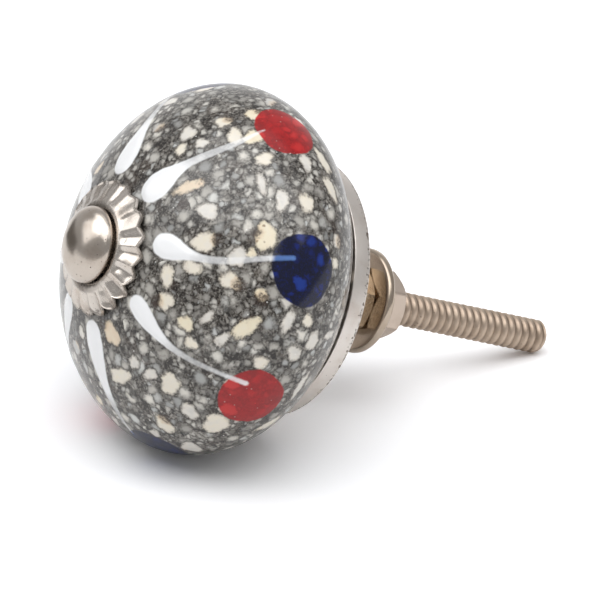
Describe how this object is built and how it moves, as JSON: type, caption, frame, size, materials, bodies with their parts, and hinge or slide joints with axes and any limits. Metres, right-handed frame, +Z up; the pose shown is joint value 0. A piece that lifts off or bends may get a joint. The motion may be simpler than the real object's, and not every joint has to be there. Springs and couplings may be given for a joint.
{
  "type": "cabinet knob",
  "caption": "Round glazed ceramic cabinet knob with a petal rosette, dome-headed through bolt, pressed metal back plate, washer and hexagon nuts.",
  "frame": {"origin": "centre of the back plate's rear face, which lies against the drawer front", "axes": "+Y along the bolt, from the dome head at the front to the free end of the thread; +Z up, +X to the right as seen from the front"},
  "size_m": [0.0416, 0.0649, 0.0416],
  "materials": {
    "ceramic": "glossy pebble-speckled glaze",
    "nickel": "satin nickel plating",
    "brass": "dull brass"
  },
  "bodies": {
    "root": {"ceramic_body": "ceramic", "back_plate": "nickel", "petal_rosette": "nickel", "dome_bolt": "nickel", "lock_nut": "brass", "washer": "nickel", "mounting_nut": "nickel"}
  },
  "joints": []
}
